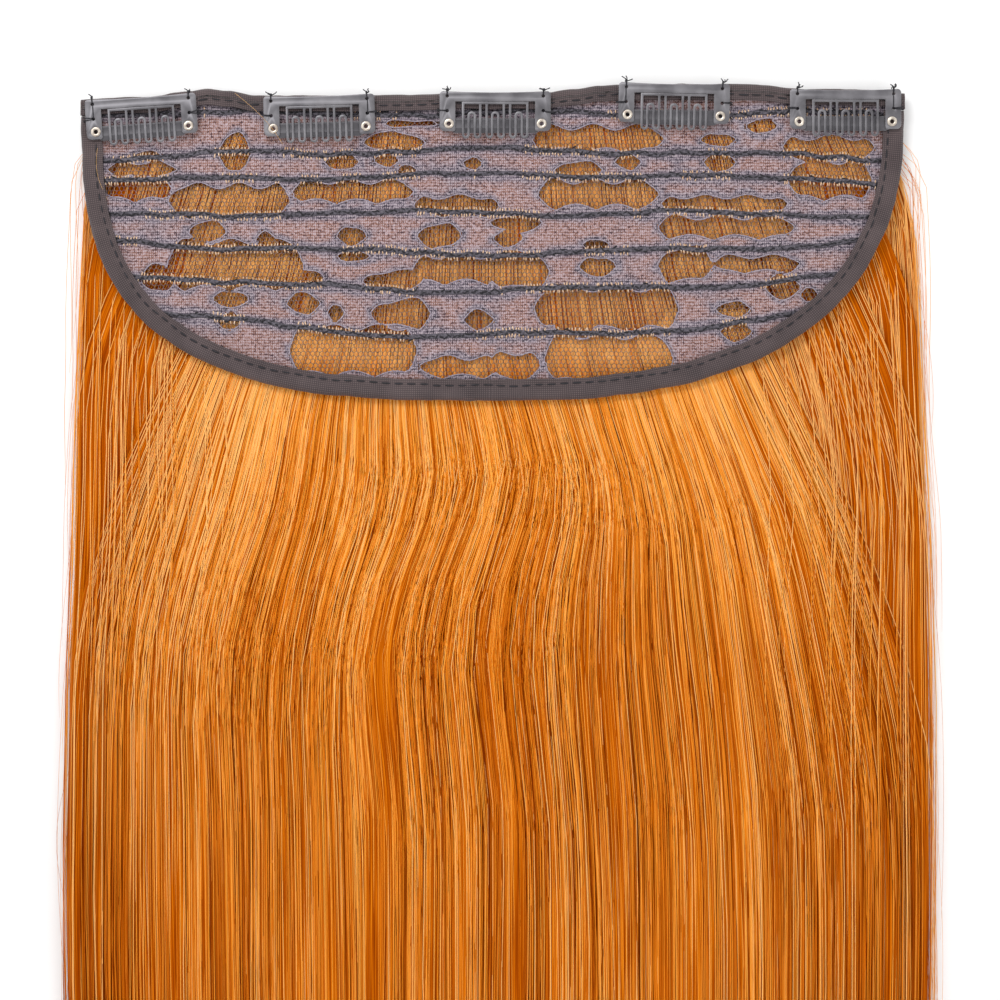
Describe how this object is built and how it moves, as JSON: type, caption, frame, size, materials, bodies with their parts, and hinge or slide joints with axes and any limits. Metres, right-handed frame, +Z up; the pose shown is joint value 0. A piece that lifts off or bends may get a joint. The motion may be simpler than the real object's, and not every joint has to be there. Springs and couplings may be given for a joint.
{
  "type": "clip-in hair extension",
  "caption": "Half-moon lace base with bound edges, snap comb clips along its straight edge and straight copper hair hanging from sewn rows.",
  "frame": {"origin": "middle of the whole piece as it lies, on the surface under its hair side", "axes": "+Z up, away from the surface, towards the clips; +Y along the hair towards the base's straight edge; +X to the right with the clips facing up and the base at the top"},
  "size_m": [0.2533, 0.4901, 0.0105],
  "materials": {
    "lace": "dark mauve-grey warp-knitted lace, matt",
    "binding": "woven dark grey tape, faint sheen",
    "hair": "copper orange straight hair, soft gloss",
    "painted_steel": "dark grey painted spring steel",
    "eyelet": "bright nickel"
  },
  "bodies": {
    "base": {"lace_panel": "lace", "curved_binding": "binding", "top_binding": "binding", "hair_tier_1": "hair", "hair_tier_2": "hair", "hair_tier_3": "hair", "hair_tier_4": "hair", "clip_1_frame": "painted_steel", "clip_1_bar": "painted_steel", "clip_1_rivet_left": "eyelet", "clip_1_rivet_right": "eyelet", "clip_2_frame": "painted_steel", "clip_2_bar": "painted_steel", "clip_2_rivet_left": "eyelet", "clip_2_rivet_right": "eyelet", "clip_3_frame": "painted_steel", "clip_3_bar": "painted_steel", "clip_3_rivet_left": "eyelet", "clip_3_rivet_right": "eyelet", "clip_4_frame": "painted_steel", "clip_4_bar": "painted_steel", "clip_4_rivet_left": "eyelet", "clip_4_rivet_right": "eyelet", "clip_5_frame": "painted_steel", "clip_5_bar": "painted_steel", "clip_5_rivet_left": "eyelet", "clip_5_rivet_right": "eyelet"},
    "comb_1": {"clip_1_comb": "painted_steel"},
    "comb_2": {"clip_2_comb": "painted_steel"},
    "comb_3": {"clip_3_comb": "painted_steel"},
    "comb_4": {"clip_4_comb": "painted_steel"},
    "comb_5": {"clip_5_comb": "painted_steel"}
  },
  "joints": [
    {"name": "clip_1_snap", "type": "hinge", "parent": "base", "child": "comb_1", "pos_m": [-0.10399, 0.23809, 0.00662], "axis": [-0.9977, -0.068, 0], "range_deg": [0, 35]},
    {"name": "clip_2_snap", "type": "hinge", "parent": "base", "child": "comb_2", "pos_m": [-0.05208, 0.23847, 0.00662], "axis": [-0.9996, -0.0279, 0], "range_deg": [0, 35]},
    {"name": "clip_3_snap", "type": "hinge", "parent": "base", "child": "comb_3", "pos_m": [-0.00078, 0.23959, 0.00662], "axis": [-1, 0, 0], "range_deg": [0, 35]},
    {"name": "clip_4_snap", "type": "hinge", "parent": "base", "child": "comb_4", "pos_m": [0.05137, 0.24199, 0.00662], "axis": [-0.9998, 0.0192, 0], "range_deg": [0, 35]},
    {"name": "clip_5_snap", "type": "hinge", "parent": "base", "child": "comb_5", "pos_m": [0.10123, 0.24023, 0.00662], "axis": [-1, 0, 0], "range_deg": [0, 35]}
  ]
}
